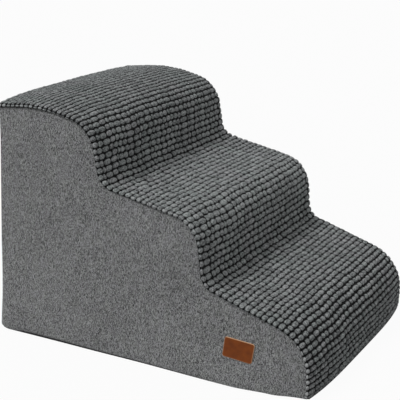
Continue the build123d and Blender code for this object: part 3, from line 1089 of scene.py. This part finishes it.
def eased_foam(node, finish):
    """Foam as in the frame, with its sides drawn in under the seam as the cloth over them is."""
    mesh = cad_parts[node].data.copy()
    mesh.materials.clear()
    mesh.materials.append(finish)
    piece = new_object(node.replace("foam_", "soft_"), mesh)
    tidy_faces(piece)
    points = np.empty(len(mesh.vertices) * 3)
    mesh.vertices.foreach_get("co", points)
    points = points.reshape(-1, 3) / millimetre + (centre_from_back, 0, 0)
    most = half_width + cloth_out(points[:, 0], points[:, 2]) - cloth_thickness - foam_gap
    most -= foot_tucked(points[:, 2], base_top, foot_tuck)
    points[:, 1] = np.clip(points[:, 1], -most, most)
    mesh.vertices.foreach_set("co", in_frame(points).ravel())
    mesh.update()
    return piece


def base_outline(z):
    """Edge of the base cloth at a height: just inside the cloth round it, and under the plush in front."""
    level = max(z, back_foot)
    inset = cloth_thickness + base_inset
    corner = corner_radius_bottom + base_corner_gap
    places = np.linspace(corner, body_length - base_front_gap, base_side_steps)
    side = half_width + cloth_out(places, base_side_height) - inset
    near = np.column_stack((places + corner_shift(places, level), -side))
    y = np.linspace(-base_front_share, base_front_share, base_front_steps) * half_width
    front_x = body_length + wave_lifts[-1] * crown_at(y) + pile_floor + base_front_reach
    front = np.column_stack((front_x - front_draw_corner * (1 - crown_at(y)), y))
    across = np.linspace(1, -1, base_back_steps) * (half_width - corner)
    back = np.column_stack((corner_shift(half_width - np.abs(across), level) + inset, across))
    return np.vstack((near, front, near[::-1] * (1, -1), back))


def base_cloth(finish):
    """Black cloth under the foam, with its edge turned up inside the cloth round it."""
    middle = (body_length / 2, 0)
    half_size = np.array((body_length / 2, half_width))
    narrowed = (1, 1 - base_side_gap / half_width)
    points = []
    for z, draw in base_rings:
        ring = ((base_outline(z) - middle) * (1 - draw / half_size) + middle) * narrowed
        points.append(np.column_stack((ring, np.full(len(ring), z))))
    outline = base_outline(base_rings[-1][0])
    faces = ring_faces(len(base_rings), len(outline))
    piece = new_piece("base_cloth", np.vstack(points), faces, finish)
    tidy_faces(piece)
    piece.data.shade_flat()
    return piece


def photograph_camera():
    """Camera at the photograph's angle, distance and focal length."""
    data = bpy.data.cameras.new("camera")
    data.sensor_width = camera_sensor
    data.lens = camera_lens
    camera = new_object("camera", data)
    place = Matrix.Translation(camera_place)
    for degrees, axis in ((camera_azimuth, "Z"), (90 - camera_elevation, "X"), (camera_roll, "Z")):
        place = place @ Matrix.Rotation(math.radians(degrees), 4, axis)
    camera.matrix_world = place
    bpy.context.scene.camera = camera


def seen_directly(start):
    """1 for rays from the camera, straight or by way of gloss or glass, and 0 for the light's own."""
    seen = start.node("ShaderNodeLightPath", output="Is Camera Ray")
    for kind in ("Is Glossy Ray", "Is Transmission Ray"):
        seen = start.maths("MAXIMUM", seen, start.node("ShaderNodeLightPath", output=kind))
    return seen


def surroundings():
    """Even light from all round, which the camera sees as white."""
    world = bpy.data.worlds.new("surroundings")
    bpy.context.scene.world = world
    world.use_nodes = True
    start = Signal(world.node_tree)
    backdrop = next(node for node in world.node_tree.nodes if node.type == "BACKGROUND")
    backdrop.inputs["Color"].default_value = (1, 1, 1, 1)
    strength = seen_directly(start) * (1 - world_light) + world_light
    world.node_tree.links.new(strength.socket, backdrop.inputs["Strength"])


def pale_floor():
    """Floor that is pale grey to the light and nearly white to the camera, where no shadow falls."""
    material = bpy.data.materials.new("white_floor")
    material.use_nodes = True
    tree = material.node_tree
    tree.nodes.clear()
    start = Signal(tree)
    matt = start.node("ShaderNodeBsdfDiffuse", inputs={"Color": (floor_matt, floor_matt, floor_matt, 1)})
    glow = start.node("ShaderNodeEmission", inputs={"Color": (1, 1, 1, 1)})
    mixed = start.node("ShaderNodeMixShader",
                       inputs={0: seen_directly(start) * floor_white, 1: matt, 2: glow})
    tree.links.new(mixed.socket, tree.nodes.new("ShaderNodeOutputMaterial").inputs[0])
    mesh = bpy.data.meshes.new("floor")
    corners = [(x * floor_reach, y * floor_reach, 0) for x, y in ((-1, -1), (1, -1), (1, 1), (-1, 1))]
    mesh.from_pydata(corners, [], [(0, 1, 2, 3)])
    mesh.materials.append(material)
    new_object("floor", mesh)


def soft_lamp():
    """One soft lamp from above on the left."""
    data = bpy.data.lights.new("soft_lamp", "SUN")
    data.energy = lamp_light
    data.angle = lamp_spread
    lamp = new_object("soft_lamp", data)
    lamp.rotation_euler = Vector(lamp_from).to_track_quat("Z", "Y").to_euler()


photograph_camera()
surroundings()
pale_floor()
soft_lamp()
bpy.context.scene.view_settings.view_transform = "Standard"

finishes = {name: new_finish(name, plain_look, **details) for name, details in plain_looks.items()}
for finish, nodes in node_finishes.items():
    for node in nodes:
        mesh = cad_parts[node].data
        mesh.materials.clear()
        mesh.materials.append(finishes[finish])

plush = plush_panel(new_finish("grey_plush", plush_look))
linen = new_finish("heather_linen", linen_look)
side_left = side_cloth("side_cloth_left", -1, linen)
side_right = side_cloth("side_cloth_right", 1, linen)
back_upper = back_cloth("back_cloth", True, linen)
back_hem = back_cloth("back_hem", False, linen)
patch = leather_patch(new_finish("brown_leather", leather_look))
bottom = base_cloth(finishes["black_base_cloth"])
stitches = zip_stitches(finishes["zip_tape"])
dressed = (
    (plush, "grey_plush", "tread_panel"),
    (side_left, "heather_linen", "side_panel_left"),
    (side_right, "heather_linen", "side_panel_right"),
    (back_upper, "heather_linen", "back_panel"),
    (back_hem, "heather_linen", "back_hem_strip"),
    (bottom, "black_base_cloth", "base_panel"),
    (patch, "brown_leather", "leather_label"),
    (stitches, "zip_tape", None),
)
for piece, slot, node in dressed:
    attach(piece, "stairs")
    if node:
        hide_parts(node)
for node, slot in foams.items():
    foam = eased_foam(node, finishes[slot])
    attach(foam, "stairs")
    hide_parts(node)
